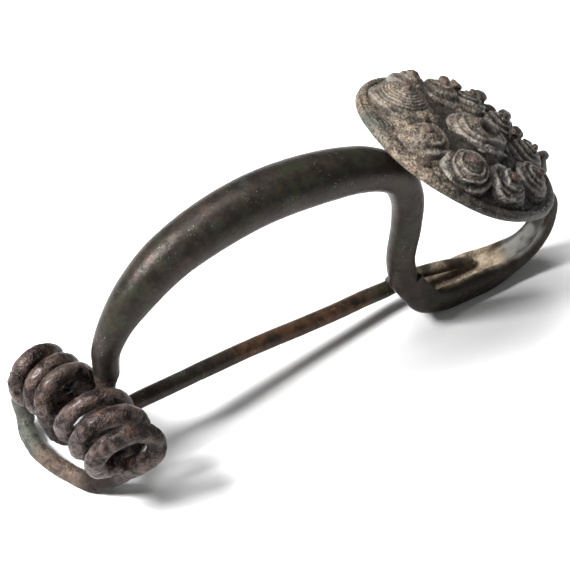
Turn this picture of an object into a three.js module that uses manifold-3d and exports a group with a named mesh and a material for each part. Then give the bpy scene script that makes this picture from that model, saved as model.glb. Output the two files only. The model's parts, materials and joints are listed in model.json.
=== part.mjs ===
// A bronze fibula: one thick wire makes the pin, the spring, the arched bow and the foot,
// and a cast disc of ringed bosses sits on the end of the foot.
// Millimetres, +Z up, +X from the spring to the foot. The brooch stands on its chord and its foot.
// The code below works from the middle of the spring, on the spring's axis, which is along Y.
import * as THREE from 'three';
import { mergeVertices } from 'three/addons/utils/BufferGeometryUtils.js';
import Module from 'manifold-3d';

const wasm = await Module();
wasm.setup();

const TURN = 2 * Math.PI;
const DEGREE = Math.PI / 180;

// ---- Driving dimensions ------------------------------------------------------------------

const WIRE_SIDES = 16;
const STEPS_PER_TURN = 12;
const coilWire = 1.3;              // radius of the wire in the spring and the chord
const outerTurnsExtra = 0.13;      // the spring's two outer near turns are thicker by this much

// The two halves of the spring. The near one is on the -Y side and ends in the pin.
const nearCoil = {
  radius: 4.25, turns: 3, pitch: 3.95, innerY: -0.6, lean: -0.15, shiftX: 0.5, dropZ: 0.4,
};
const farCoil = {
  radius: 3.75, turns: 3, pitch: 3.15, innerY: 4.25, shiftX: -2.2, dropZ: 1.3, sag: 4.3, bulge: 0.4,
};
const chordLeaves = 70 * DEGREE;   // where the chord runs into the outermost near turn
const floorZ = -12.4;              // what the brooch stands on, below the spring's axis
const standingFlat = 0.12;         // how much of the chord's underside is worn away there

// Bow and riser, in the plane Y = 0: [x, z, radius]
const bowRootY = 1.25;
const bowStations = [
  [4.4, 3.4, 1.85],
  [4.1, 8.4, 2.05],
  [5.6, 12.6, 2.4],
  [9.2, 17.0, 3.05],
  [14.0, 20.7, 3.45],
  [20.7, 23.2, 3.72],
  [28.4, 24.3, 3.8],
  [37.0, 23.6, 3.7],
  [45.4, 21.4, 3.3],
  [51.0, 17.6, 2.75],
  [53.4, 12.6, 2.45],
  [53.5, 7.0, 2.25],
  [52.7, 1.0, 2.1],
  [53.3, -3.5, 2.2],
];
// Foot, from the heel round the loop to the underside of the disc:
// [x, z, half thickness, nearest y, furthest y, trough depth, height of the trough's far rim as a share]
const footStations = [
  [55.8, -7.4, 2.15, -2.2, 2.5, 0.0, 1.0],
  [57.5, -9.1, 2.1, -2.2, 2.5, 2.5, 0.0],
  [59.2, -10.0, 1.95, -2.2, 4.8, 3.15, 0.0],
  [61.4, -10.45, 1.97, -2.2, 5.5, 2.45, 0.3],
  [64.4, -10.55, 1.92, -2.2, 5.5, 2.5, 0.35],
  [68.0, -10.55, 1.88, -2.2, 5.5, 2.65, 0.4],
  [71.6, -10.1, 1.35, -2.0, 4.2, 1.4, 0.7],
  [75.3, -8.65, 1.05, -1.9, 2.8, 0.45, 1.0],
  [77.7, -6.15, 0.95, -1.9, 2.3, 0.2, 1.0],
  [78.6, -2.9, 0.95, -2.0, 2.1, 0.0, 1.0],
  [78.3, 0.4, 1.0, -2.1, 2.1, 0.0, 1.0],
  [76.2, 3.6, 1.0, -2.2, 2.2, 0.0, 1.0],
  [73.0, 6.4, 1.0, -2.4, 2.4, 0.0, 1.0],
  [69.6, 9.1, 1.0, -2.4, 2.4, 0.0, 1.0],
  [66.4, 11.3, 1.0, -2.4, 2.4, 0.0, 1.0],
  [63.6, 13.05, 1.0, -2.4, 2.4, 0.0, 1.0],
];
// Inner face of the foot: [share of the half width, share of the half thickness, share of the trough].
// The last point is the trough's far rim.
const innerFace = [
  [-0.94, -0.5, 0],
  [-0.8, -0.95, 0],
  [-0.58, -1.0, 0],
  [-0.34, -0.85, 1],
  [0.3, -0.8, 1],
  [0.72, -0.85, 1],
  [0.88, -0.9, 0],
];

// Pin, from its cut beside the spring to its tip in the trough: [x, y, z, radius]
const pinStations = [
  [0.78, -0.6, -4.27, 1.27],
  [3.6, -0.66, -3.9, 1.25],
  [7.5, -0.2, -3.5, 1.25],
  [13.5, 0.4, -4.1, 1.28],
  [28.0, 1.8, -5.6, 1.28],
  [42.0, 3.0, -7.6, 1.27],
  [49.0, 3.7, -8.4, 1.25],
  [53.5, 4.0, -8.9, 1.2],
  [57.7, 3.95, -8.4, 1.0],
  [62.8, 3.9, -9.35, 0.93],
  [67.4, 3.75, -10.55, 0.76],
  [68.7, 3.7, -10.8, 0.35],
];

// Disc
const discCentre = new THREE.Vector3(61.3, 0, 16.9);
const discTilt = 32 * DEGREE;      // its face looks up and away from the spring
const discLean = 4 * DEGREE;       // and a little toward -Y
const discRadius = 15.9;
const flangeTop = 1.4;             // the flat rim around the bosses
const moundProfile = [[13.6, 0.9], [12.9, 1.5], [11.6, 2.4], [9.0, 3.2], [5.0, 3.6], [0, 3.7]];
const bossBaseLevel = 2.5;
const bossLevelRise = 0.04;        // per mm toward +Y, where the bosses stand taller
// Bosses round the middle: [distance from the middle, angle, radius, height, degrees it leans out]
const bosses = [
  [10.6, -167, 3.2, 2.2, 16],
  [10.2, -126, 3.7, 2.4, 14],
  [10.8, -90, 3.3, 2.2, 16],
  [11.0, -53, 3.2, 2.2, 16],
  [10.9, -16, 2.9, 1.6, 16],
  [10.6, 20, 2.9, 1.4, 14],
  [10.3, 50, 3.0, 1.6, 14],
  [10.0, 78, 3.4, 1.9, 10],
  [11.2, 109, 2.6, 2.2, 6],
  [10.6, 138, 4.0, 2.2, 12],
];
const centreBoss = { x: 1.4, y: -1.2, radius: 4.4, height: 2.2, hollow: 0.9 };
const ridgeCount = 3;              // rings wound around each boss
const pelletRadius = 0.95;
// Knobs that stand up from the disc's far edge: [distance from the middle, angle, height of the top]
const knobs = [
  [15.0, -9, 3.2],
  [10.4, 4, 4.4],
  [14.6, 25, 4.0],
  [14.5, 43, 4.2],
  [13.3, 60, 4.3],
];
const knobRadius = 0.8;
const flangePelletAngle = -152 * DEGREE;

// ---- Shared geometry ---------------------------------------------------------------------

/** Closed skin over a row of rings that all have the same number of points. */
function loft(rings) {
  const sides = rings[0].length;
  const positions = [];
  const index = [];
  for (const ring of rings) {
    for (const point of ring) positions.push(point.x, point.y, point.z);
  }
  for (let row = 0; row + 1 < rings.length; row++) {
    for (let side = 0; side < sides; side++) {
      const a = row * sides + side;
      const b = row * sides + (side + 1) % sides;
      index.push(a, b, a + sides, b, b + sides, a + sides);
    }
  }
  for (const [row, flip] of [[0, true], [rings.length - 1, false]]) {
    const middle = new THREE.Vector3();
    for (const point of rings[row]) middle.add(point);
    middle.divideScalar(sides);
    const centre = positions.length / 3;
    positions.push(middle.x, middle.y, middle.z);
    for (let side = 0; side < sides; side++) {
      const a = row * sides + side;
      const b = row * sides + (side + 1) % sides;
      index.push(...(flip ? [centre, b, a] : [centre, a, b]));
    }
  }
  const geometry = new THREE.BufferGeometry();
  geometry.setAttribute('position', new THREE.Float32BufferAttribute(positions, 3));
  geometry.setIndex(index);
  return geometry;
}

/** Rings across a path. section(i) gives the outline at station i as [across, outward] pairs. */
function ringsAlong(path, section) {
  const last = path.length - 1;
  let across = new THREE.Vector3(0, 1, 0);
  return path.map((point, i) => {
    const tangent = path[Math.min(i + 1, last)].clone().sub(path[Math.max(i - 1, 0)]).normalize();
    across = across.clone().addScaledVector(tangent, -across.dot(tangent)).normalize();
    const outward = tangent.clone().cross(across);
    return section(i).map(([sideways, out]) => point.clone()
      .addScaledVector(across, sideways)
      .addScaledVector(outward, out));
  });
}

/** Round outline of the wire. */
function roundSection(radius, sides) {
  return Array.from({ length: sides }, (_, side) => {
    const angle = TURN * side / sides;
    return [radius * Math.cos(angle), radius * Math.sin(angle)];
  });
}

/** Outline of the foot: a strip with a flat outer face, and an inner face hollowed into a trough. */
function footSection(halfThickness, nearY, farY, trough, rim) {
  const middle = (nearY + farY) / 2;
  const halfWidth = (farY - nearY) / 2;
  const outerHalf = roundSection(1, WIRE_SIDES).slice(0, WIRE_SIDES / 2 + 1)
    .map(([sideways, out]) => [
      Math.sign(sideways) * Math.abs(sideways) ** 0.6, Math.min(1, 1.24 * out ** 0.6), 0,
    ]);
  const innerHalf = innerFace.map(([sideways, out, hollow], i) => [
    sideways, out, i === innerFace.length - 1 ? 1 - rim : hollow,
  ]);
  return [...outerHalf, ...innerHalf].map(([sideways, out, hollow]) => [
    middle + halfWidth * sideways,
    halfThickness * out + trough * hollow,
  ]);
}

/** Smooth curve through stations of numbers, sampled stepsPerSpan times between each pair. */
function smoothStations(stations, stepsPerSpan) {
  const width = stations[0].length;
  const rows = [];
  for (let span = 0; span + 1 < stations.length; span++) {
    const before = stations[Math.max(span - 1, 0)];
    const after = stations[Math.min(span + 2, stations.length - 1)];
    for (let step = 0; step < stepsPerSpan; step++) {
      const t = step / stepsPerSpan;
      rows.push(Array.from({ length: width }, (_, column) => catmullRom(
        t, before[column], stations[span][column], stations[span + 1][column], after[column])));
    }
  }
  rows.push(stations.at(-1));
  return rows;
}

function catmullRom(t, p0, p1, p2, p3) {
  const slope1 = (p2 - p0) / 2;
  const slope2 = (p3 - p1) / 2;
  return (2 * p1 - 2 * p2 + slope1 + slope2) * t ** 3
    + (-3 * p1 + 3 * p2 - 2 * slope1 - slope2) * t ** 2 + slope1 * t + p1;
}

/** Where a turn of the spring stands at an angle, 0 at the bottom and a quarter turn at +X. */
function coilPoint(radius, angle) {
  return new THREE.Vector3(radius * Math.sin(angle), 0, -radius * Math.cos(angle));
}

function solidOf(geometry) {
  const bare = geometry.clone();
  bare.deleteAttribute('normal');
  bare.deleteAttribute('uv');
  const merged = mergeVertices(bare, 1e-4);
  return new wasm.Manifold(new wasm.Mesh({
    numProp: 3,
    vertProperties: new Float32Array(merged.attributes.position.array),
    triVerts: new Uint32Array(merged.index.array),
  }));
}

function geometryOf(solid) {
  const mesh = solid.getMesh();
  const geometry = new THREE.BufferGeometry();
  geometry.setAttribute('position', new THREE.BufferAttribute(mesh.vertProperties, 3));
  geometry.setIndex(new THREE.BufferAttribute(mesh.triVerts, 1));
  return geometry;
}

// ---- Wire: spring, chord, bow and foot ---------------------------------------------------

/** Near half of the spring, from the cut of the pin outward to where the chord takes over. */
function nearCoilPath() {
  const coil = nearCoil;
  const startAngle = TURN * coil.turns;
  const steps = Math.round(STEPS_PER_TURN * (startAngle - chordLeaves) / TURN);
  return Array.from({ length: steps + 1 }, (_, step) => {
    const angle = startAngle + (chordLeaves - startAngle) * step / steps;
    const outward = coil.turns - angle / TURN;
    const point = coilPoint(coil.radius, angle);
    const fade = THREE.MathUtils.smoothstep(outward, 0, 0.4);
    point.y = coil.innerY - coil.pitch * outward + coil.lean * point.z * fade;
    point.x += coil.shiftX * outward / coil.turns;
    point.z -= coil.dropZ * outward / coil.turns;
    return point;
  });
}

/** Far half of the spring, from its outer end inward to the root of the bow. */
function farCoilPath() {
  const coil = farCoil;
  const total = coil.turns + 0.25;
  const steps = Math.round(STEPS_PER_TURN * total);
  return Array.from({ length: steps + 1 }, (_, step) => {
    const outward = total * (1 - step / steps);
    const point = coilPoint(coil.radius, TURN * (0.25 - outward));
    // The first turn beside the bow is squeezed, so that it clears the bow's root.
    const first = Math.min(outward, 1);
    point.y = bowRootY + (coil.innerY - bowRootY) * first ** 0.5
      + coil.pitch * Math.max(outward - 1, 0);
    point.x += coil.shiftX * outward / total + 0.7 * Math.max(0, 1 - 3 * outward);
    point.z -= coil.dropZ * outward / total;
    // Its lower half hangs below the other turns.
    point.x -= coil.bulge * Math.sin(Math.PI * first);
    point.z -= coil.sag * Math.sin(TURN * Math.min(outward, 0.5)) ** 1.4;
    return point;
  });
}

/** Chord: the wire that runs low outside the spring, from its near end to its far end. */
function chordPath(from, to) {
  const low = floorZ + coilWire - standingFlat;
  const hand = [
    new THREE.Vector3(2.6, -10.1, -4.3),
    new THREE.Vector3(1.0, -7.2, -7.9),
    new THREE.Vector3(-0.7, -4.9, low + 0.7),
    new THREE.Vector3(-2.0, -3.0, low),
    new THREE.Vector3(-3.9, 1.9, low),
    new THREE.Vector3(-4.6, 5.9, low),
    new THREE.Vector3(-4.2, 9.3, low + 0.2),
    new THREE.Vector3(-3.4, 11.5, low + 1.8),
    new THREE.Vector3(-3.5, 12.3, low + 4.3),
  ];
  const curve = new THREE.CatmullRomCurve3([...from, ...hand, ...to]);
  const samples = curve.getSpacedPoints(200);
  const near = samples.findIndex((p) => p.distanceTo(from.at(-1)) < 0.3);
  const far = samples.findIndex((p) => p.distanceTo(to[0]) < 0.3);
  const steps = 17;
  return Array.from({ length: steps - 1 }, (_, step) => (
    samples[Math.round(near + (far - near) * (step + 1) / steps)]));
}

function wireGeometry() {
  const near = nearCoilPath();
  const far = farCoilPath();
  const chord = chordPath(near.slice(-2), far.slice(0, 2));
  const path = [];
  const outlines = [];
  for (const [i, point] of [...near, ...chord, ...far].entries()) {
    const thick = THREE.MathUtils.smoothstep(i, 6, 14) - THREE.MathUtils.smoothstep(i, 30, 38);
    path.push(point);
    outlines.push(roundSection(coilWire + outerTurnsExtra * thick, WIRE_SIDES));
  }
  for (const [x, z, radius] of smoothStations(bowStations, 2).slice(0, -1)) {
    const leaning = bowRootY * (1 - THREE.MathUtils.smoothstep(z, 0, 12));
    path.push(new THREE.Vector3(x, x < 20 ? leaning : 0, z));
    outlines.push(roundSection(radius, WIRE_SIDES));
  }
  const [heelX, heelZ, heelRadius] = bowStations.at(-1);
  const foot = [[heelX, heelZ, heelRadius, -heelRadius, heelRadius, 0, 1], ...footStations];
  for (const [x, z, ...size] of smoothStations(foot, 2)) {
    path.push(new THREE.Vector3(x, 0, z));
    outlines.push(footSection(...size));
  }
  // The rings are carried from the foot back to the spring, so that the foot stays level.
  path.reverse();
  outlines.reverse();
  const rings = ringsAlong(path, (i) => outlines[i]);
  // The chord and the foot are worn flat where the brooch stands on them.
  for (const point of rings.flat()) point.z = Math.max(point.z, floorZ);
  return loft(rings);
}

// ---- Pin ---------------------------------------------------------------------------------

function pinGeometry() {
  const rows = smoothStations(pinStations, 2);
  const path = rows.map(([x, y, z]) => new THREE.Vector3(x, y, z));
  return loft(ringsAlong(path, (i) => roundSection(rows[i][3], 10)));
}

// ---- Disc --------------------------------------------------------------------------------

/** Solid of revolution about +Z from [radius, height] pairs that start and end on the axis. */
function turned(profile, segments) {
  const points = profile.map(([radius, height]) => new THREE.Vector2(radius, height));
  const geometry = new THREE.LatheGeometry(points, segments);
  geometry.rotateX(Math.PI / 2);
  return solidOf(geometry);
}

function discPlate() {
  const rim = discRadius;
  return turned([
    [0, -0.6], [rim - 3, -0.5], [rim - 0.5, 0], [rim, 0.4], [rim, flangeTop - 0.3],
    [rim - 0.4, flangeTop], [rim - 2.0, flangeTop - 0.1], ...moundProfile,
  ], 36);
}

/** A mound wound with rings, as if from coiled wire, that ends in a flat crown. */
function boss(radius, height, crown) {
  const profile = [[0, -1.6], [radius, -1.6], [radius, 0]];
  const fall = (radius - crown) / ridgeCount;
  for (let ridge = 0; ridge < ridgeCount; ridge++) {
    const outer = radius - fall * ridge;
    const level = height * Math.sin(Math.PI / 2 * (ridge + 1) / ridgeCount);
    profile.push([outer - 0.4 * fall, level], [outer - 0.9 * fall, level - 0.3]);
  }
  return [...profile, [0, height - 0.3]];
}

function pellet(radius, height) {
  return solidOf(new THREE.SphereGeometry(radius, 7, 4)).translate(0, 0, height);
}

function discGeometry() {
  let disc = discPlate();
  for (const [ring, degrees, radius, height, lean] of bosses) {
    const level = bossBaseLevel + bossLevelRise * ring * Math.sin(degrees * DEGREE);
    disc = disc.add(turned(boss(radius, height, pelletRadius), 9)
      .add(pellet(pelletRadius, height))
      .rotate([0, lean, 0])
      .translate([ring, 0, level])
      .rotate([0, 0, degrees]));
  }
  for (const [ring, degrees, top] of knobs) {
    disc = disc.add(turned([[0, 0], [knobRadius, 0], [knobRadius * 0.85, top], [0, top]], 7)
      .add(pellet(pelletRadius, top))
      .translate([ring, 0, 0])
      .rotate([0, 0, degrees]));
  }
  const middle = turned([
    ...boss(centreBoss.radius, centreBoss.height, centreBoss.hollow).slice(0, -1),
    [0, centreBoss.height - 1.3],
  ], 12);
  disc = disc.add(middle.translate([centreBoss.x, centreBoss.y, moundProfile.at(-1)[1]]));
  return geometryOf(disc.add(pellet(pelletRadius, flangeTop).translate([
    (discRadius - 1.8) * Math.cos(flangePelletAngle),
    (discRadius - 1.8) * Math.sin(flangePelletAngle), 0])));
}

// ---- Assembly ----------------------------------------------------------------------------

function piece(name, geometry, colour, roughness, metalness) {
  const flat = geometry.index ? geometry : mergeVertices(geometry);
  flat.computeVertexNormals();
  const material = new THREE.MeshStandardMaterial({ color: colour, roughness, metalness });
  const mesh = new THREE.Mesh(flat, material);
  mesh.name = name;
  return mesh;
}

const fibula = new THREE.Group();
fibula.add(piece('bow_spring_and_foot', wireGeometry(), 0x2f2c25, 0.45, 0.8));
fibula.add(piece('pin', pinGeometry(), 0x3a3626, 0.5, 0.8));

const disc = piece('boss_disc', discGeometry(), 0x6b6356, 0.8, 0.35);
disc.position.copy(discCentre);
disc.rotation.set(discLean, discTilt, 0, 'YXZ');
fibula.add(disc);

// The origin is under the middle of the brooch, on the surface that it stands on.
fibula.updateMatrixWorld(true);
const box = new THREE.Box3().setFromObject(fibula, true);
const middle = box.getCenter(new THREE.Vector3());
fibula.position.set(-middle.x, -middle.y, -box.min.z);

export default fibula;
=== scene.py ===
"""Bronze bow brooch: a coiled spring, an arched bow, a troughed foot and a disc of ringed bosses."""
import json
import math

import bpy
import numpy as np
from mathutils import Matrix, Vector


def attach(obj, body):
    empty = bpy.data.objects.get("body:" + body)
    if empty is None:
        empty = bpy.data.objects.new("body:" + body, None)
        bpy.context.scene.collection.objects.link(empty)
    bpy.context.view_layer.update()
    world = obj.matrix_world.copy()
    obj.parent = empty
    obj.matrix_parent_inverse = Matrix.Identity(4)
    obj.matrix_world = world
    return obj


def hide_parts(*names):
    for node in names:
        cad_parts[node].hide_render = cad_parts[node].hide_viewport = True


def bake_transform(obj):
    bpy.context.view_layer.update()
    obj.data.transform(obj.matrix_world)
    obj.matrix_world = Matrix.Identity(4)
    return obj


bl_info = {
    "name": "Bow brooch",
    "version": (1, 0, 0),
    "blender": (4, 5, 0),
    "location": "View3D > Sidebar > Brooch",
    "description": "Builds a patinated bronze bow brooch with a coiled spring and a boss-covered disc",
    "category": "Add Mesh",
}

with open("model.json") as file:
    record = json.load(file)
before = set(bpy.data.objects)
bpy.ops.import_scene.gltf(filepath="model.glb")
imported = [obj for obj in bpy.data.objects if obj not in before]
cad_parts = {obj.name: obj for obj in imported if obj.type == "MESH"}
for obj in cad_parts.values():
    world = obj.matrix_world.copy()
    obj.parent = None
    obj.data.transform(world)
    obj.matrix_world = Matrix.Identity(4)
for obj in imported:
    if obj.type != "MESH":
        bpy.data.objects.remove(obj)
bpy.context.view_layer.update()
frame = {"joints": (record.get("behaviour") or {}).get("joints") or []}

MM = 0.001
TURN = 2 * math.pi
# All lengths below are millimetres from the middle of the spring, whose axis runs along Y.
SPRING = Vector(frame["joints"][0]["pos_m"])

# Bow and riser in the plane Y = 0: x, z, radius
BOW = [
    (4.4, 3.4, 1.85),
    (4.1, 8.4, 2.05),
    (5.6, 12.6, 2.4),
    (9.2, 17.0, 3.05),
    (14.0, 20.7, 3.45),
    (20.7, 23.2, 3.72),
    (28.4, 24.3, 3.8),
    (37.0, 23.6, 3.7),
    (45.4, 21.4, 3.3),
    (51.0, 17.6, 2.75),
    (53.4, 12.6, 2.45),
    (53.5, 7.0, 2.25),
    (52.7, 1.0, 2.1),
    (53.3, -3.5, 2.2),
]
BOW_ROOT_Y = 1.25
# Foot: x, z, half thickness, nearest y, furthest y, trough depth, height of the trough's far rim
FOOT = [
    (55.7, -7.5, 2.15, -2.2, 2.5, 0.0, 1.0),
    (57.4, -9.2, 1.95, -2.2, 2.7, 0.4, 0.8),
    (59.6, -10.1, 1.9, -2.2, 4.9, 2.9, 0.0),
    (61.4, -10.45, 1.97, -2.2, 5.5, 2.45, 0.3),
    (64.4, -10.55, 1.92, -2.2, 5.5, 2.5, 0.35),
    (68.0, -10.55, 1.88, -2.2, 5.5, 2.65, 0.4),
    (71.6, -10.1, 1.35, -2.0, 4.2, 1.4, 0.7),
    (75.3, -8.65, 1.05, -1.9, 2.8, 0.45, 1.0),
    (77.7, -6.15, 0.95, -1.9, 2.3, 0.2, 1.0),
    (78.6, -2.9, 0.95, -2.0, 2.1, 0.0, 1.0),
    (78.3, 0.4, 1.0, -2.1, 2.1, 0.0, 1.0),
    (76.2, 3.6, 1.0, -2.2, 2.2, 0.0, 1.0),
    (73.0, 6.4, 1.0, -2.4, 2.4, 0.0, 1.0),
    (69.6, 9.1, 1.0, -2.4, 2.4, 0.0, 1.0),
    (66.4, 11.3, 1.0, -2.4, 2.4, 0.0, 1.0),
    (63.6, 13.05, 1.0, -2.4, 2.4, 0.0, 1.0),
]
# Outline of the foot: share of the half width, of the half thickness, and of the trough's depth
OUTER_HALF = [
    (math.copysign(abs(math.cos(a)) ** 0.6, math.cos(a)), min(1, 1.24 * abs(math.sin(a)) ** 0.6), 0.0)
    for a in np.linspace(0, math.pi, 9)
]
INNER_FACE = [
    (-0.94, -0.5, 0.0),
    (-0.8, -0.95, 0.0),
    (-0.58, -1.0, 0.0),
    (-0.34, -0.85, 1.0),
    (0.3, -0.8, 1.0),
    (0.72, -0.85, 1.0),
]
FAR_RIM = (0.88, -0.9)
# Pin: x, y, z, radius
PIN = [
    (0.78, -0.6, -4.27, 1.27),
    (3.6, -0.66, -3.9, 1.25),
    (7.5, -0.2, -3.5, 1.25),
    (13.5, 0.4, -4.1, 1.28),
    (28.0, 1.8, -5.6, 1.28),
    (42.0, 3.0, -7.6, 1.27),
    (49.0, 3.7, -8.4, 1.25),
    (53.5, 4.0, -8.9, 1.2),
    (57.7, 3.95, -8.4, 1.0),
    (62.8, 3.9, -9.35, 0.93),
    (67.4, 3.75, -10.55, 0.76),
    (68.7, 3.7, -10.8, 0.35),
]
# Height of the chord's lowest stretch
LOW = -11.22
# Chord, from the near half of the spring to the far half
CHORD = [
    (2.6, -10.1, -4.3),
    (1.0, -7.2, -7.9),
    (-0.7, -4.9, LOW + 0.7),
    (-2.0, -3.0, LOW),
    (-3.9, 1.9, LOW),
    (-4.6, 5.9, LOW),
    (-4.2, 9.3, LOW + 0.2),
    (-3.4, 11.5, LOW + 1.8),
    (-3.5, 12.3, LOW + 4.3),
]
# The floor that the chord and the foot rest on, and are worn flat against
FLOOR = -12.4
# Radius of the wire, and what the near half's outer turns have more
WIRE = 1.3
THICKER = 0.13
# Spring: radius of the coil, number of turns, and the step along the axis for each turn
NEAR_RADIUS = 4.25
NEAR_TURNS = 3
NEAR_STEP = 3.95
FAR_RADIUS = 3.75
FAR_TURNS = 3.25
FAR_STEP = 3.15
COIL_POINTS = 400
# Distance between the rings of points along the wire, and the number of points in a ring
BODY_RING_STEP = 0.27
BODY_SIDES = 56
PIN_RING_STEP = 0.25
PIN_SIDES = 44
# Where on the near half's last turn the chord leaves it
CHORD_LEAVES = math.radians(70)

DISC_CENTRE = Vector((61.3, 0.0, 16.9))
DISC_TILT = math.radians(32)
DISC_LEAN = math.radians(4)
DISC_RADIUS = 15.9
# Flat rim, groove and mound under the bosses: distance from the middle, height
MOUND = [(0, 3.9), (5, 3.85), (8, 3.6), (10, 2.9), (11.8, 2.1), (12.9, 1.2), (13.8, 0.8), (14.6, 0.95),
         (15.1, 1.35), (15.5, 1.45), (15.75, 1.25), (DISC_RADIUS, 0.8)]
# Height of a boss's foot over the disc's plane, and how much it rises for each millimetre toward +Y
BASE_LEVEL = 2.5
LEVEL_RISE = 0.04
# No boss reaches past this distance from the middle
BOSS_REACH = 14.9
# Bosses: distance from the middle, angle, radius, height, degrees it leans out, fine rings,
# size of its pellet, and its heavy ridges as (distance, half width, rise, middle angle, half sweep).
BOSSES = [
    (10.4, -167, 3.7, 2.6, 16, 0, 0.75, [(0.6, 0.06, 0.36, -30, 80), (0.84, 0.07, 0.45, -35, 95)]),
    (10.2, -126, 3.9, 2.7, 14, 0, 0.95, [
        (0.42, 0.05, 0.32, 0, 360), (0.62, 0.055, 0.38, 0, 360), (0.88, 0.09, 0.4, 0, 360)]),
    (10.8, -90, 3.5, 2.5, 16, 4, 0.8, [(0.4, 0.06, 0.34, 170, 100), (0.72, 0.08, 0.5, 170, 110)]),
    (11.0, -53, 3.4, 2.5, 16, 3, 0.65, [(0.7, 0.08, 0.2, 0, 360)]),
    (10.9, -16, 3.4, 2.3, 16, 3, 0.5, []),
    (10.6, 20, 3.5, 2.3, 14, 3, 0.5, []),
    (10.3, 50, 3.5, 2.3, 14, 3, 0.65, [(0.7, 0.08, 0.24, 0, 360)]),
    (9.8, 78, 3.9, 2.3, 10, 2, 0.95, [(0.9, 0.09, 0.24, 0, 360)]),
    (11.2, 109, 3.0, 2.4, 6, 2, 0.6, [(0.85, 0.1, 0.34, 0, 360)]),
    (10.2, 138, 4.4, 2.5, 12, 7, 0.95, [(0.94, 0.07, 0.24, 0, 360)]),
]
# Middle boss: x, y, radius, height, and the height of its foot
CENTRE_BOSS = (1.2, -1.2, 4.9, 2.6, 3.55)
CENTRE_RIDGES = [
    (0.92, 0.045, 0.34, 150, 110), (0.78, 0.045, 0.36, 160, 120), (0.64, 0.045, 0.3, 170, 100),
    (0.62, 0.05, 0.42, -60, 60), (0.86, 0.05, 0.36, -55, 70),
]
# Knobs on the far edge: distance from the middle, angle, height of the top, radius, flatness
KNOBS = [
    (15.0, -9, 2.9, 0.95, 0.7),
    (10.4, 4, 4.3, 0.9, 0.8),
    (14.6, 25, 3.6, 1.0, 0.6),
    (14.5, 43, 3.9, 1.15, 0.5),
    (13.3, 60, 4.1, 1.0, 0.6),
    (11.4, 109, 5.1, 1.15, 0.5),
    (14.2, 3, 2.6, 0.8, 0.8),
    (14.3, 12, 2.8, 0.9, 0.7),
    (14.3, 34, 3.0, 1.1, 0.5),
]
# Small ringed motifs in the crust on the rim
RIM_MOTIFS = [(13.9, 170, 1.5), (13.9, -171, 1.3), (13.8, -159, 1.2), (13.9, -143, 0.9)]
# Back of the plate, from its middle out to the rim: share of the radius, height
BACK = [(0.0, -0.6), (0.5, -0.5), (0.9, -0.25), (0.985, 0.0), (1.0, 0.3)]
# How finely the disc's parts are divided
PLATE_SPOKES = 360
PLATE_RINGS = 112
BOSS_SPOKES = 96
PELLET_SPOKES = 28
# A pellet on the near part of the rim: distance from the middle, angle, height, radius
RIM_PELLET = (14.1, -152, 1.8, 0.9)

CAMERA_TARGET = Vector((32.92, 0.0, 5.8))
CAMERA_LENS = 202.1


# ---- Numbers and curves ------------------------------------------------------------------

def curve_between(p0, p1, p2, p3, t):
    """Catmull-Rom curve from p1 to p2 as t goes from 0 to 1."""
    slope_1 = (p2 - p0) / 2
    slope_2 = (p3 - p1) / 2
    cubic = 2 * p1 - 2 * p2 + slope_1 + slope_2
    square = -3 * p1 + 3 * p2 - 2 * slope_1 - slope_2
    return cubic * t ** 3 + square * t ** 2 + slope_1 * t + p1


def smooth_stations(stations, steps):
    """A smooth curve through rows of numbers, with steps samples to a span."""
    rows = np.array(stations, float)
    padded = np.vstack([rows[:1], rows, rows[-1:]])
    out = []
    for span in range(len(rows) - 1):
        for t in np.arange(steps) / steps:
            out.append(curve_between(*padded[span:span + 4], t))
    out.append(rows[-1])
    return np.array(out)


def even_steps(rows, step):
    """The same curve with its samples step millimetres apart; the first three columns are x, y, z."""
    lengths = np.linalg.norm(np.diff(rows[:, :3], axis=0), axis=1)
    along = np.concatenate([[0], np.cumsum(lengths)])
    wanted = np.linspace(0, along[-1], max(int(along[-1] / step), 2) + 1)
    return np.stack([np.interp(wanted, along, rows[:, c]) for c in range(rows.shape[1])], -1)


def ease(low, high, x):
    """0 below low, 1 above high, and a smooth step between them."""
    t = np.clip((np.asarray(x, float) - low) / (high - low), 0, 1)
    return t * t * (3 - 2 * t)


def lattice(cells, seed):
    """A repeatable number from 0 to 1 for each whole-numbered cell."""
    mixed = cells[..., 0] * 73856093 ^ cells[..., 1] * 19349663 ^ cells[..., 2] * 83492791
    mixed = (mixed ^ seed * 2654435761) & 0xFFFFFFFF
    mixed = (mixed ^ mixed >> 15) * 2246822519 & 0xFFFFFFFF
    mixed = (mixed ^ mixed >> 13) * 3266489917 & 0xFFFFFFFF
    return ((mixed ^ mixed >> 16) & 0xFFFFFF) / 0xFFFFFF


def lumps(points, size, seed):
    """Smooth noise from -1 to 1 whose lumps are about size millimetres across."""
    scaled = np.asarray(points, float) / size + 1000
    base = np.floor(scaled).astype(np.int64)
    part = scaled - base
    part = part * part * (3 - 2 * part)
    total = np.zeros(len(scaled))
    for corner in range(8):
        offset = np.array([corner & 1, corner >> 1 & 1, corner >> 2 & 1])
        weight = np.prod(np.where(offset == 1, part, 1 - part), axis=1)
        total += weight * lattice(base + offset, seed)
    return total * 2 - 1


def rough(points, size, seed, layers=3):
    """Lumps of several sizes laid over one another, from about -1 to 1."""
    total = np.zeros(len(points))
    strength = 0.6
    for layer in range(layers):
        total += strength * lumps(points, size / 2 ** layer, seed + layer)
        strength *= 0.55
    return total


# ---- Wire geometry -----------------------------------------------------------------------

def coil_point(radius, angle):
    """A point of a turn, at the bottom for angle 0 and at +X for a quarter turn."""
    return np.stack([radius * np.sin(angle), np.zeros_like(angle), -radius * np.cos(angle)], -1)


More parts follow.
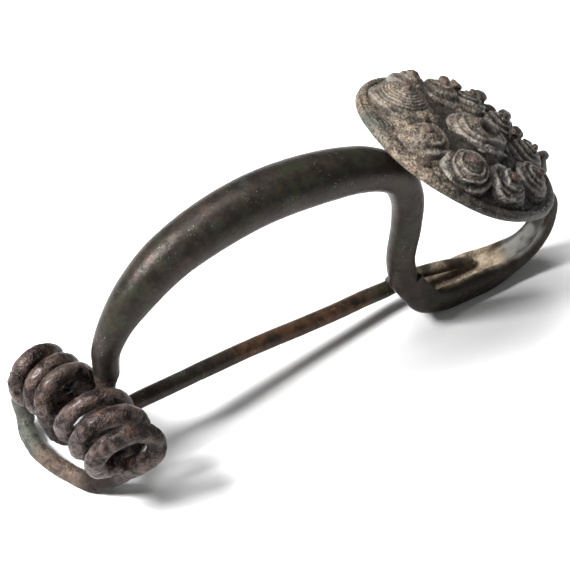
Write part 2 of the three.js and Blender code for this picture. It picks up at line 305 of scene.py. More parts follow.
def near_coil_path():
    """Half of the spring on the -Y side, from the pin's root outward."""
    angle = np.linspace(NEAR_TURNS * TURN, CHORD_LEAVES, COIL_POINTS)
    outward = NEAR_TURNS - angle / TURN
    points = coil_point(NEAR_RADIUS, angle)
    slant = 0.15 * points[:, 2] * ease(0, 0.4, outward)
    points[:, 1] = PIN[0][1] - NEAR_STEP * outward - slant
    # The coil strays a little from the axis toward its outer end.
    points[:, 0] += 0.5 * outward / NEAR_TURNS
    points[:, 2] -= 0.4 * outward / NEAR_TURNS
    return points


def far_coil_path():
    """Half of the spring on the +Y side, from its outer end inward to the root of the bow."""
    outward = np.linspace(FAR_TURNS, 0, COIL_POINTS)
    points = coil_point(FAR_RADIUS, TURN * (0.25 - outward))
    first = np.minimum(outward, 1)
    points[:, 1] = BOW_ROOT_Y + 3.0 * first ** 0.5 + FAR_STEP * np.maximum(outward - 1, 0)
    # The coil strays back and down toward its outer end, and leans out to meet the bow.
    points[:, 0] += -2.2 * outward / FAR_TURNS + 0.7 * np.maximum(0, 1 - 3 * outward)
    points[:, 2] -= 1.3 * outward / FAR_TURNS
    # The first turn beside the bow is pulled wide and sags.
    points[:, 0] -= 0.4 * np.sin(math.pi * first)
    points[:, 2] -= 4.3 * np.maximum(np.sin(TURN * np.minimum(outward, 0.5)), 0) ** 1.4
    return points


def near_thickness(share):
    """How much the near turns are thickened: share is 0 at the pin and 1 where the chord starts."""
    return ease(0.18, 0.41, share) - ease(0.88, 1.12, share)


def round_outline():
    """The wire's outline as shares: the same sixteen points that the foot's outline has."""
    return [(math.cos(a), math.sin(a)) for a in np.linspace(0, TURN, 17)[:-1]]


def foot_outline(half_thickness, near_y, far_y, trough, rim):
    """Outline of the foot in millimetres, as (sideways, outward) pairs."""
    middle = (near_y + far_y) / 2
    half_width = (far_y - near_y) / 2
    points = OUTER_HALF + INNER_FACE + [(FAR_RIM[0], FAR_RIM[1], 1 - rim)]
    return [
        (middle + half_width * side, half_thickness * out + trough * hollow)
        for side, out, hollow in points
    ]


def refine(outlines, sides):
    """Closed outlines of a few points each, smoothed to the given number of sides."""
    control = np.array(outlines, float)
    count = control.shape[1]
    place = np.arange(sides) / sides * count
    index = np.floor(place).astype(int)
    t = (place - index)[None, :, None]
    return curve_between(*(control[:, (index + shift) % count] for shift in (-1, 0, 1, 2)), t)


def rings_along(path, outlines):
    """Rings of points across a path, carried along it without twisting. The path starts at the foot."""
    tangents = np.gradient(path, axis=0)
    tangents /= np.linalg.norm(tangents, axis=1, keepdims=True)
    across = np.array([0.0, 1.0, 0.0])
    rings = []
    for point, tangent, outline in zip(path, tangents, outlines):
        across = across - tangent * across.dot(tangent)
        across /= np.linalg.norm(across)
        outward = np.cross(tangent, across)
        rings.append(point + outline[:, :1] * across + outline[:, 1:] * outward)
    return np.array(rings)


def ring_faces(rows, sides):
    """Four-sided faces between each ring of points and the next."""
    starts = np.arange(rows - 1)[:, None] * sides
    a = (starts + np.arange(sides)).ravel()
    b = (starts + (np.arange(sides) + 1) % sides).ravel()
    return np.stack([a, b, b + sides, a + sides], -1)


def skin(name, rings):
    """A closed mesh object over a row of rings."""
    rows, sides = rings.shape[:2]
    faces = ring_faces(rows, sides).tolist()
    faces.append(list(range(sides))[::-1])
    faces.append(list(range((rows - 1) * sides, rows * sides)))
    return mesh_object(name, rings.reshape(-1, 3), faces)


def mesh_object(name, points, faces):
    """A smooth-shaded object from points in millimetres from the spring's middle."""
    mesh = bpy.data.meshes.new(name)
    mesh.from_pydata((np.asarray(points) * MM + np.array(SPRING)).tolist(), [], faces)
    mesh.shade_smooth()
    mesh.update()
    obj = bpy.data.objects.new(name, mesh)
    bpy.context.scene.collection.objects.link(obj)
    return obj


def paint_masks(obj, masks):
    """Stores named masks, one number for each point of the mesh, for its material to read."""
    for name, values in masks.items():
        layer = obj.data.attributes.new(name, "FLOAT", "POINT")
        layer.data.foreach_set("value", np.asarray(values, dtype=np.float32))


def outward_normals(rings):
    """Directions away from the middle of each ring."""
    middle = rings.mean(axis=1, keepdims=True)
    away = rings - middle
    return away / np.maximum(np.linalg.norm(away, axis=2, keepdims=True), 1e-9)


def weather(rings, crust):
    """Corroded rings, moved in and out by lumps and pits where crust is 1, and the pits as a mask."""
    flat = rings.reshape(-1, 3)
    away = outward_normals(rings).reshape(-1, 3)
    crust = np.repeat(crust, rings.shape[1])
    coarse = rough(flat, 1.4, 11)
    fine = rough(flat, 0.5, 29)
    pits = ease(0.15, 0.6, lumps(flat, 0.6, 57)) * ease(-0.3, 0.4, lumps(flat, 2.6, 71))
    calm = 0.04 * rough(flat, 4.0, 5)
    depth = calm + crust * (0.09 * coarse + 0.09 * fine - 0.22 * pits)
    return (flat + away * depth[:, None]).reshape(rings.shape), crust * pits


# ---- Shader nodes ------------------------------------------------------------------------

class Value:
    """A socket of a shader node, with plain arithmetic for numbers."""

    def __init__(self, paint, socket):
        self.paint = paint
        self.socket = socket

    def _math(self, operation, first, second):
        return self.paint.node("ShaderNodeMath", {"operation": operation}, {0: first, 1: second})

    def __add__(self, other):
        return self._math("ADD", self, other)

    def __radd__(self, other):
        return self._math("ADD", other, self)

    def __sub__(self, other):
        return self._math("SUBTRACT", self, other)

    def __rsub__(self, other):
        return self._math("SUBTRACT", other, self)

    def __mul__(self, other):
        return self._math("MULTIPLY", self, other)

    def __rmul__(self, other):
        return self._math("MULTIPLY", other, self)


class Paint:
    """The shader nodes of one material."""

    def __init__(self, name):
        self.material = bpy.data.materials.new(name)
        self.material.use_nodes = True
        self.tree = self.material.node_tree
        self.tree.nodes.clear()
        self.place = self.node("ShaderNodeTexCoord", output="Object")

    def node(self, kind, settings=None, sockets=None, output=0):
        """Adds any node. Settings come first, then the values or links of its sockets."""
        made = self.tree.nodes.new(kind)
        for key, value in (settings or {}).items():
            setattr(made, key, value)
        for key, value in (sockets or {}).items():
            if isinstance(value, Value):
                self.tree.links.new(value.socket, made.inputs[key])
            else:
                made.inputs[key].default_value = value
        return Value(self, made.outputs[output])

    def mask(self, name):
        """A number that the mesh holds for each of its points."""
        return self.node("ShaderNodeAttribute", {"attribute_name": name}, output="Fac")

    def noise(self, size, detail=4.0, roughness=0.6, distortion=0.0):
        """Cloudy noise about size millimetres across, from 0 to 1."""
        return self.node("ShaderNodeTexNoise", {}, {
            "Vector": self.place, "Scale": 1 / (size * MM), "Detail": detail,
            "Roughness": roughness, "Distortion": distortion,
        }, "Fac")

    def grains(self, size):
        """Cells about size millimetres across: 0 in the middle of each, more at its edges."""
        return self.node("ShaderNodeTexVoronoi", {}, {
            "Vector": self.place, "Scale": 1 / (size * MM),
        }, "Distance")

    def step(self, value, low, high):
        """0 below low and 1 above high, with a smooth change between."""
        return self.node("ShaderNodeMapRange", {"interpolation_type": "SMOOTHSTEP"}, {
            "Value": value, "From Min": low, "From Max": high,
        })

    def mix(self, factor, first, second):
        """Blends two colours."""
        return self.node("ShaderNodeMix", {"data_type": "RGBA"}, {
            0: factor, 6: colour_of(first), 7: colour_of(second),
        }, 2)

    def bump(self, height, distance, under=None, strength=1.0):
        """Fine relief, distance millimetres deep."""
        sockets = {"Height": height, "Distance": distance * MM, "Strength": strength}
        if under is not None:
            sockets["Normal"] = under
        return self.node("ShaderNodeBump", {}, sockets)

    def finish(self, constants=None, **varying):
        """Ends in a Principled shader and returns the material."""
        shader = self.tree.nodes.new("ShaderNodeBsdfPrincipled")
        for key, value in (constants or {}).items():
            shader.inputs[key].default_value = value
        for key, value in varying.items():
            self.tree.links.new(value.socket, shader.inputs[key.replace("_", " ")])
        surface = self.tree.nodes.new("ShaderNodeOutputMaterial")
        self.tree.links.new(shader.outputs[0], surface.inputs["Surface"])
        return self.material


def colour_of(value):
    """A colour with its fourth number, or the socket unchanged."""
    return value if isinstance(value, Value) else (*tuple(value)[:3], 1.0)


# ---- Materials ---------------------------------------------------------------------------

def bronze_patina(settings):
    """Dark bronze: smooth on the bow, crusted on the spring, with earth left in the hollows."""
    paint = Paint("dark_bronze_patina")
    crust = paint.mask("crust")
    teal = paint.mask("teal")
    tan = paint.mask("tan")
    earth = paint.mask("earth")
    pale = paint.mask("pale")
    rust = paint.mask("rust")
    dark = paint.mask("dark")
    wide = paint.noise(7.0, 3.0)
    cloud = paint.noise(2.2, 5.0, 0.65)
    fine = paint.noise(0.4, 4.0, 0.7)

    colour = paint.mix(paint.step(cloud, 0.4, 0.7), settings.dark_bronze, settings.warm_bronze)
    green = paint.step(wide, 0.42, 0.62) * paint.step(cloud, 0.38, 0.62)
    colour = paint.mix(green * 0.9, colour, settings.olive)
    blue = paint.step(paint.noise(4.0, 4.0), 0.58, 0.72)
    colour = paint.mix(blue * 0.7, colour, settings.verdigris)
    crusted = paint.mix(paint.step(cloud, 0.42, 0.6), settings.crust_dark, settings.crust_light)
    colour = paint.mix(crust, colour, crusted)
    copper = paint.step(paint.noise(2.6, 5.0, 0.7, 0.4), 0.54, 0.64)
    stain = paint.step(cloud, 0.3, 0.6) * rust * 0.45
    colour = paint.mix(copper * (crust * 0.22 + rust * 0.5 + 0.08) + stain, colour, settings.rust)
    chord_teal = paint.mix(paint.step(cloud, 0.4, 0.6), settings.chord_teal, settings.verdigris)
    colour = paint.mix(teal * 0.9, colour, chord_teal)
    chord_tan = paint.mix(paint.step(cloud, 0.42, 0.62), settings.chord_tan, settings.crust_light)
    colour = paint.mix(tan * 0.9, colour, chord_tan)
    colour = paint.mix(pale * (0.45 + cloud * 0.8), colour, settings.pale_grey)
    ground = paint.mix(paint.step(cloud, 0.45, 0.6), settings.earth, settings.chord_tan)
    colour = paint.mix(earth * (0.6 + fine), colour, ground)
    grit = paint.step(fine, 0.6, 0.7) * paint.step(paint.noise(1.5, 3.0), 0.5, 0.6)
    colour = paint.mix(grit * (crust * 0.8 + tan * 0.4 + teal * 0.3), colour, settings.sand)
    scab = paint.step(cloud, 0.5, 0.42) * (crust * 0.5 + tan * 0.6 + teal * 0.6)
    colour = paint.mix(scab * 0.75, colour, settings.crust_dark)
    speck = (1 - paint.step(paint.grains(0.42), 0.08, 0.24)) * paint.step(paint.noise(3.2), 0.54, 0.62)
    colour = paint.mix(speck * (1 - crust) * 0.7, colour, settings.pale_green)
    # Darker in the pits and on the near half's outer turn; painted shade in the trough's corner and
    # painted shadow of the spring on the chord's near end.
    colour = paint.mix(dark * 0.85, colour, settings.dark_and_shade)

    gloss = 0.2 + 0.14 * cloud + 0.14 * fine + crust * (paint.step(wide, 0.4, 0.6) * 0.25 - 0.06)
    gloss = gloss + earth * 0.45 + teal * 0.12 + tan * 0.2 + pale * 0.35 + dark * 0.2
    varnish = crust * paint.step(cloud, 0.42, 0.58) * (1 - dark) * (1 - teal) * (1 - tan) * 0.35
    metal = 0.35 - crust * 0.1 - earth * 0.3 - teal * 0.2 - tan * 0.2
    relief = paint.bump(fine * (0.5 + crust * 0.7), 0.12, strength=0.8)
    relief = paint.bump(cloud * (0.3 + crust), 0.3, relief)
    relief = paint.bump(paint.grains(0.3) * (crust + earth * 0.7 + tan * 0.4), 0.14, relief)
    return paint.finish(
        {"Specular IOR Level": 0.24, "Specular Tint": (0.8, 0.72, 0.72, 1.0), "Coat Roughness": 0.3},
        Base_Color=colour, Roughness=gloss, Metallic=metal, Coat_Weight=varnish, Normal=relief)


def disc_crust(settings):
    """The disc: grey-beige sediment over bronze with rust-brown pellets, with painted shade in its
    grooves and over its side away from the spring.
    """
    paint = Paint("crusted_disc")
    hollow = paint.mask("hollow")
    shade = paint.mask("shade")
    rust = paint.mask("rust")
    worn = paint.mask("worn")
    green = paint.mask("green")
    cloud = paint.noise(1.3, 5.0, 0.7)
    wide = paint.noise(4.5, 3.0)
    fine = paint.noise(0.32, 4.0, 0.75)
    grain = paint.grains(0.4)

    colour = paint.mix(paint.step(cloud, 0.4, 0.6), settings.disc_brown, settings.disc_beige)
    colour = paint.mix(paint.step(wide, 0.45, 0.65) * 0.7, colour, settings.disc_grey)
    ochre = paint.step(paint.noise(3.0, 4.0, 0.7), 0.56, 0.68)
    colour = paint.mix(ochre * 0.55 * (1 - shade), colour, settings.ochre)
    shaded = paint.mix(paint.step(cloud, 0.42, 0.62), settings.shade_dark, settings.shade_mid)
    # Painted shade: the side of the disc away from the spring is darkened, with lighter patches in it.
    colour = paint.mix(shade * 0.92, colour, shaded)
    sand = paint.step(fine, 0.55, 0.68)
    colour = paint.mix(sand * (1 - shade * 0.75) * 0.55, colour, settings.sand)
    # Random dark specks of dirt.
    darkening = (1 - paint.step(fine, 0.4, 0.52)) * 0.85
    colour = paint.mix(darkening, colour, settings.groove_dirt_and_shade)
    # Painted shade in the grooves, at the feet of bosses, under pellets and on the back, deeper on the
    # shaded side.
    colour = paint.mix(hollow * (0.65 + shade * 0.35), colour, settings.groove_dirt_and_shade)
    rubbed = worn * (0.3 + paint.step(cloud, 0.42, 0.58) * 0.5)
    colour = paint.mix(rubbed, colour, settings.disc_silver)
    colour = paint.mix(rust * (0.4 + cloud * 0.7), colour, settings.pellet_rust)
    colour = paint.mix(green * paint.step(cloud, 0.35, 0.6) * 0.8, colour, settings.green)
    relief = paint.bump(fine, 0.16, strength=0.9)
    relief = paint.bump(grain, 0.16, relief, 0.8)
    relief = paint.bump(cloud, 0.3, relief, 0.8)
    gloss = 0.66 - shade * 0.24 - worn * 0.12 + (cloud - 0.5) * 0.25 - rust * 0.15
    metal = 0.1 + shade * 0.2
    return paint.finish(
        {"Specular IOR Level": 0.4}, Base_Color=colour, Roughness=gloss, Metallic=metal, Normal=relief)


# ---- Sizes and colours a user would change -----------------------------------------------

def colour_property(name, description, default):
    """A colour for the sidebar."""
    return bpy.props.FloatVectorProperty(
        name=name, description=description, default=default, subtype="COLOR", size=3, min=0, max=1)


class BronzeColours(bpy.types.PropertyGroup):
    """Colours of the wire's patina."""

    dark_bronze: colour_property("Dark bronze", "Main colour of the bow", (0.017, 0.0145, 0.0125))
    warm_bronze: colour_property("Warm bronze", "Brown where the bow is rubbed", (0.038, 0.028, 0.022))
    olive: colour_property("Olive", "Green-black patches of the bow", (0.023, 0.027, 0.017))
    verdigris: colour_property("Verdigris", "Bluish patches", (0.032, 0.041, 0.035))
    crust_dark: colour_property("Crust, dark", "Darker crust of the spring", (0.01, 0.007, 0.007))
    crust_light: colour_property("Crust, light", "Lighter crust of the spring", (0.072, 0.049, 0.042))
    rust: colour_property("Rust", "Orange-brown stains", (0.125, 0.06, 0.03))
    sand: colour_property("Sand", "Grains of sand in the crust", (0.42, 0.31, 0.2))
    chord_teal: colour_property("Chord, green", "Grey-green end of the chord", (0.115, 0.118, 0.095))
    chord_tan: colour_property("Chord, brown", "Brown middle of the chord", (0.145, 0.108, 0.078))
    pale_grey: colour_property("Strip", "Pale grey inner face of the strip", (0.16, 0.16, 0.15))
    earth: colour_property("Earth", "Earth left in the trough", (0.3, 0.25, 0.18))
    pale_green: colour_property("Specks", "Pale green specks", (0.2, 0.24, 0.175))
    # Darker pits, with painted shade in the trough's corner and painted shadow of the spring on the
    # chord's near end.
    dark_and_shade: colour_property("Hollows", "Dark dirt in pits and corners", (0.008, 0.006, 0.005))


class DiscColours(bpy.types.PropertyGroup):
    """Colours of the disc's crust."""

    disc_beige: colour_property("Beige", "Light crust", (0.29, 0.23, 0.165))
    disc_brown: colour_property("Brown", "Brown crust", (0.075, 0.056, 0.042))
    disc_grey: colour_property("Grey", "Grey crust", (0.138, 0.124, 0.107))
    ochre: colour_property("Ochre", "Orange-brown earth", (0.24, 0.142, 0.082))
    # Painted shade: colours of the disc's side away from the spring.
    shade_dark: colour_property("Dark", "Dark side of the disc", (0.014, 0.0112, 0.0098))
    shade_mid: colour_property("Middle", "Lighter patches of the dark side", (0.045, 0.038, 0.033))
    # Painted shade in grooves and recesses; also the colour of random dark specks of dirt.
    groove_dirt_and_shade: colour_property("Grooves", "Dirt in the grooves", (0.008, 0.006, 0.0045))
    disc_silver: colour_property("Worn", "Rubbed ridges", (0.24, 0.22, 0.198))
    pellet_rust: colour_property("Pellets", "Rust-brown pellets", (0.055, 0.03, 0.021))
    sand: colour_property("Sand", "Grains of sand", (0.34, 0.28, 0.21))
    green: colour_property("Green", "Green patch on the rim", (0.035, 0.048, 0.034))


class StudioSettings(bpy.types.PropertyGroup):
    """Camera and light."""

    azimuth: bpy.props.FloatProperty(
        name="Azimuth", description="Camera's turn round the brooch, in degrees", default=-33.0)
    elevation: bpy.props.FloatProperty(
        name="Elevation", description="Camera's height above the horizon, in degrees", default=44.0)
    distance: bpy.props.FloatProperty(
        name="Distance", description="Camera's distance from its target",
        default=0.448, unit="LENGTH")
    light: bpy.props.FloatProperty(
        name="Light", description="Strength of the studio light", default=1.0, min=0.0)


def settings_of(name):
    """One of the scene's property groups."""
    return getattr(bpy.context.scene, name)


# ---- Pieces ------------------------------------------------------------------------------

def wire_outlines(radius):
    """Round outlines for a row of radii."""
    return np.array(round_outline())[None] * np.asarray(radius)[:, None, None]


def body_path():
    """Foot, riser, bow, far half of the spring and chord, with an outline at each step."""
    bow = smooth_stations(BOW, 24)
    foot = smooth_stations([(53.3, -3.5, 2.2, -2.2, 2.2, 0.0, 1.0), *FOOT], 16)
    far = far_coil_path()
    near = near_coil_path()
    chord = smooth_stations([near[-13], near[-1], *CHORD, far[0], far[20]], 24)[24:-24]
    circle = np.array(round_outline())

    path = []
    outlines = []
    for row in foot[::-1]:
        path.append((row[0], 0.0, row[1]))
        outlines.append(foot_outline(*row[2:]))
    for x, z, radius in bow[::-1][1:]:
        y = BOW_ROOT_Y * (1 - ease(0, 12, z)) if x < 20 else 0.0
        path.append((x, float(y), z))
        outlines.append(circle * radius)
    for point in far[::-1][1:]:
        path.append(tuple(point))
        outlines.append(circle * WIRE)
    for share, point in zip(np.linspace(1.5, 1, len(chord)), chord[::-1]):
        path.append(tuple(point))
        outlines.append(circle * (WIRE + THICKER * near_thickness(share)))
    # A short, thinner end lies hidden inside the near half of the spring.
    for point in near[-8:-1][::-1]:
        path.append(tuple(point))
        outlines.append(circle * (WIRE - 0.03))
    table = np.hstack([np.array(path), np.array(outlines).reshape(len(path), -1)])
    table = even_steps(table, BODY_RING_STEP)
    return table[:, :3], table[:, 3:].reshape(len(table), 16, 2)


def body_zones(path):
    """How much each ring of the body belongs to the spring and to the chord, from 0 to 1."""
    x, y, z = path.T
    in_spring = ease(6.6, 4.6, x) * ease(5.0, 2.0, z) * ease(-9.8, -8.0, z)
    chord = (ease(-6.8, -8.6, z) + ease(7, 9, y) * ease(-5.0, -7.0, z)) * (x < 20)
    return np.clip(in_spring - chord, 0, 1), np.clip(chord, 0, 1)


def body_masks(path, rings, pits):
    """Where the body's finish changes, with a number for each of its points."""
    sides = rings.shape[1]
    in_spring, chord = (np.repeat(zone, sides) for zone in body_zones(path))
    x, y, z = (np.repeat(column, sides) for column in path.T)
    flat = rings.reshape(-1, 3)
    blotch = rough(flat, 2.4, 131)
    # The foot's inner face, by place round each outline.
    turn = np.tile(np.arange(sides) / sides, len(rings))
    inner = ease(0.56, 0.64, turn) * ease(1.0, 0.95, turn)
    # Earth covers the trough's floor and its far wall.
    in_foot = ease(-6.2, -7.4, z) * ease(56.5, 58.5, x) * ease(74, 70, x)
    earth = in_foot * inner * ease(-1.6, -0.4, flat[:, 1] + 0.5 * blotch)
    # The strip's inner face is pale where it leaves the trough.
    strip = ease(70.0, 73, x) * ease(0.5, -2.5, z) * (x > 55) * inner
    strip = strip * ease(0.1, 0.6, blotch + 0.35)
    # Painted shade in the corner where the trough begins.
    heel = 0.6 * np.exp(-((x - 58.3) / 1.4) ** 2) * inner * ease(-6.5, -7.5, z)
    # The chord turns from green at its far end through tan to black at its near end, where the black is
    # the painted shadow of the spring.
    teal = chord * ease(2.0, 5.5, y + 2.5 * blotch)
    tan = chord * ease(7.5, 2.5, y + 2.0 * blotch) * ease(-6.0, -3.5, y)
    near_end_shadow = chord * ease(-1.5, -4.5, y)
    return {
        "crust": in_spring + 0.35 * chord,
        "teal": np.clip(teal, 0, 1),
        "tan": np.clip(tan, 0, 1),
        "earth": np.clip(earth * (1.3 + 0.4 * blotch), 0, 1),
        "pale": np.clip(strip, 0, 1),
        "rust": 0.12 * in_spring,
        # Painted shade in the trough's corner, painted shadow of the spring on the chord's near end, and
        # darker pits.
        "dark": np.clip(np.maximum(heel, near_end_shadow) + 0.8 * pits, 0, 1),
    }


def build_body(settings):
    """The fixed part of the wire."""
    path, outlines = body_path()
    rings = rings_along(path, refine(outlines, BODY_SIDES))
    in_spring, chord = body_zones(path)
    rings, pits = weather(rings, 0.14 + 0.86 * in_spring + 0.55 * chord)
    rings[..., 2] = np.maximum(rings[..., 2], FLOOR)
    obj = skin("bow_foot_and_chord", rings)
    paint_masks(obj, body_masks(path, rings, pits))
    obj.data.materials.append(bronze_patina(settings))
    return obj


def build_pin():
    """The near half of the spring and the pin that springs from it."""
    near = near_coil_path()
    share = np.linspace(0, 1, len(near))
    wire = np.hstack([near, (WIRE + THICKER * near_thickness(share))[:, None]])[::-1]
    table = even_steps(np.vstack([wire, smooth_stations(PIN, 24)]), PIN_RING_STEP)[::-1]
    path, radius = table[:, :3], table[:, 3]
    # The pin's point is rounded.
    from_tip = np.arange(len(path)) * PIN_RING_STEP
    radius = np.minimum(radius, np.sqrt(np.clip(from_tip * 0.9, 0.0004, None)))
    rings = rings_along(path, refine(wire_outlines(radius), PIN_SIDES))
    x, y, _ = path.T
    coil = ease(7.5, 4.5, x)
    rings, pits = weather(rings, 0.12 + 0.88 * coil)
    obj = skin("spring_half_and_pin", rings)
    sides = rings.shape[1]
    empty = np.zeros(rings.shape[0] * sides)
    blotch = rough(rings.reshape(-1, 3), 2.4, 131)
    in_trough = np.repeat(ease(54, 58, x), sides)
    outer_turn = coil * ease(-9.5, -12.0, y)
    paint_masks(obj, {
        "crust": np.repeat(coil, sides),
        "teal": empty,
        "tan": np.clip(in_trough * (0.6 + 0.8 * blotch), 0, 1) * 0.8,
        "earth": np.clip(in_trough * (0.1 + blotch), 0, 1),
        "pale": empty,
        "rust": np.repeat(ease(22, 30, x) * ease(54, 46, x), sides),
        "dark": np.clip(0.8 * pits + np.repeat(outer_turn * 0.4, sides), 0, 1),
    })
    return obj


class Sheets:
    """Grids of points that together make one mesh, each with the masks of its points."""

    def __init__(self, masks):
        self.points = []
        self.faces = []
        self.masks = {name: [] for name in masks}
        self.count = 0

    def add(self, grid, **masks):
        """Adds rows of rings that run anticlockwise and go from the outside in to the top."""
        rows, spokes = grid.shape[:2]
        self.points.append(grid.reshape(-1, 3))
        self.faces += (ring_faces(rows, spokes) + self.count).tolist()
        for name, values in self.masks.items():
            value = masks.get(name, 0.0)
            values.append(np.broadcast_to(value, grid.shape[:2]).ravel())
        self.count += rows * spokes

    def object(self, name):
        """The mesh object, turned into the disc's place."""
        obj = mesh_object(name, disc_to_world(np.vstack(self.points)), self.faces)
        paint_masks(obj, {mask: np.concatenate(values) for mask, values in self.masks.items()})
        return obj


def disc_to_world(points):
    """Points in the disc's plane, x away from the spring, turned into place."""
    turn = Matrix.Rotation(DISC_TILT, 3, "Y") @ Matrix.Rotation(DISC_LEAN, 3, "X")
    return points @ np.array(turn).T + np.array(DISC_CENTRE)


def polar(distance, degrees):
    """x and y of a point given by its distance from the middle and its angle."""
    turn = math.radians(degrees)
    return distance * math.cos(turn), distance * math.sin(turn)


def gritty(grid):
    """Height of the sediment's grains over a grid of points."""
    flat = grid.reshape(-1, 3)
    total = 0.09 * rough(flat, 1.1, 91) + 0.07 * rough(flat, 0.4, 97, 2)
    total -= 0.09 * ease(0.35, 0.7, lumps(flat, 0.5, 103))
    return total.reshape(grid.shape[:2])


def ridge_profile(share, angle, ridges, seed):
    """Heavy ridges wound part of the way round a boss."""
    total = np.zeros_like(share)
    flat = np.stack([4 * share * np.cos(angle), 4 * share * np.sin(angle), 0 * share], -1)
    drift = 0.03 * np.sin(2 * angle + seed) + 0.1 * (
        lumps(flat.reshape(-1, 3), 2.3, 401 + seed).reshape(share.shape) - 0.5)
    for reach, width, rise, middle, sweep in ridges:
        away = np.abs((np.degrees(angle) - middle + 180) % 360 - 180)
        part = ease(sweep, sweep * 0.75, away) if sweep < 360 else 1.0
        hump = np.exp(-((share + drift - reach) / width) ** 2)
        total = np.maximum(total, rise * hump * part)
        # The groove beside the ridge.
        total -= 0.35 * rise * np.exp(-((share + drift - reach + 1.9 * width) / width) ** 2) * part
    return total


def add_boss(sheets, place, radius, height, lean, fine, ridges, seed, pit=0.0):
    """A soft dome wound with ridges, at a place given by distance, angle and height.

    It leans out from the disc's middle. fine is the number of thin rings, and pit is 1 for a hollow
    in the top. Gives back the middle of its foot and how it is turned.
    """
    share = np.concatenate([np.linspace(1.28, 1.03, 8), np.linspace(1.0, 0.0, 44)])
    angle = np.linspace(0, TURN, BOSS_SPOKES, endpoint=False)
    share, angle = np.meshgrid(share, angle, indexing="ij")
    inside = np.minimum(share, 1)
    reach = radius * share * (1 + 0.03 * np.sin(2 * angle + seed) + 0.02 * np.sin(3 * angle - seed))
    level = height * (1 - inside ** 2.2) - 3.6 * np.maximum(share - 1, 0) ** 0.8
    slope = height * 2.2 * inside ** 1.4 / radius
    steep = np.hypot(1, slope)
    heavy = ridge_profile(share, angle, ridges, seed)
    swirl = share * fine * 1.6 + 0.06 * np.sin(3 * angle + seed) + angle / TURN * (seed % 2)
    thin = 0.5 + 0.5 * np.cos(TURN * swirl)
    band = ease(0.2, 0.3, share) * ease(1.0, 0.9, share) * (1.0 if fine else 0.0)
    thin_rise = 0.16 * (thin - 0.5) * band
    rise = heavy + thin_rise
    hollow = pit * ease(0.4, 0.14, np.hypot(share * np.cos(angle) - 0.1, share * np.sin(angle) + 0.1))
    reach = reach + rise * slope / steep
    level = level + rise / steep - 1.3 * hollow
    grid = np.stack([reach * np.cos(angle), reach * np.sin(angle), level], -1)
    tilt = math.radians(lean)
    ring, degrees, base = place
    turn = Matrix.Rotation(math.radians(degrees), 3, "Z") @ Matrix.Rotation(tilt, 3, "Y")
    # The ridges' angles are given in the disc's plane, so the boss is not spun with its place.
    turn = turn @ Matrix.Rotation(-math.radians(degrees), 3, "Z")
    middle = np.array([*polar(ring, degrees), base])
    grid = grid @ np.array(turn).T + middle
    grid[..., :2] *= np.minimum(1, BOSS_REACH / np.hypot(grid[..., 0], grid[..., 1]))[..., None]
    lumpy = lumps(grid.reshape(-1, 3), 1.7, 211 + seed).reshape(share.shape)
    grid[..., 2] += 1.5 * gritty(grid) + 0.14 * lumpy
    # Painted shade in the grooves, round the boss's foot and in its pit.
    groove = ease(0.02, -0.06, rise) * band * 0.85 + 1.2 * ease(0.0, -0.07, heavy)
    foot = ease(0.94, 1.04, share)
    sheets.add(
        grid,
        hollow=np.clip(np.maximum(np.maximum(groove, foot), hollow * 1.5), 0, 1),
        worn=np.clip(ease(0.12, 0.3, heavy) + 0.5 * ease(0.02, 0.05, thin_rise), 0, 1) * (1 - hollow),
    )
    return middle, turn


def add_ball(sheets, middle, radius, flatness, stalk, seed, rust=1.0):
    """A rounded pellet on a stalk that widens toward the disc."""
    rise = np.linspace(-0.5, 1.0, 13)
    reach = radius * np.sqrt(np.clip(1 - np.abs(rise) ** 2.4, 0, 1))
    profile = [(radius * 2.0, -stalk), (radius * 1.4, -stalk * 0.6), (radius * 0.97, -0.5 * radius)]
    profile += [(r, radius * flatness * z) for r, z in zip(reach, rise)]
    angle = np.linspace(0, TURN, PELLET_SPOKES, endpoint=False)
    reach, level = (np.array(column)[:, None] for column in zip(*profile))
    wobble = 1 + 0.06 * np.sin(2 * angle + seed) + 0.04 * np.sin(3 * angle + 2 * seed)
    grid = np.stack([
        reach * wobble * np.cos(angle), reach * wobble * np.sin(angle), level + 0 * angle], -1) + middle
    grid += 0.16 * lumps(grid.reshape(-1, 3), 0.9, 307 + seed).reshape(*grid.shape[:2], 1)
    grid[..., 2] += 0.8 * gritty(grid)
    crown = ease(-0.6 * radius, 0.0, level + 0 * angle)
    # Painted shade on the stalk under the pellet.
    neck = 0.7 * (1 - crown) * ease(-stalk, -0.6 * stalk, level + 0 * angle)
    sheets.add(grid, rust=rust * crown, hollow=neck)


def rim_height(x, y):
    """Height of the plate: its mound, its rim and the crust that fills its -X side."""
    reach = np.hypot(x, y)
    height = np.interp(reach, *zip(*MOUND))
    around = np.degrees(np.arctan2(y, x)) % 360
    filled = ease(118, 150, around) * ease(252, 225, around)
    fill = np.interp(reach, [11.5, 12.6, 15.2, 15.7], [2.1, 1.75, 1.6, 1.35])
    height = np.maximum(height, fill * filled + height * (1 - filled))
    rings = np.zeros_like(height)
    for ring, degrees, radius in RIM_MOTIFS:
        middle_x, middle_y = polar(ring, degrees)
        away = np.hypot(x - middle_x, y - middle_y)
        within = ease(radius, radius * 0.8, away)
        rings += 0.16 * within * np.cos(TURN * away / (radius * 0.42))
        height = height + 0.1 * within
    return height + rings, filled, rings


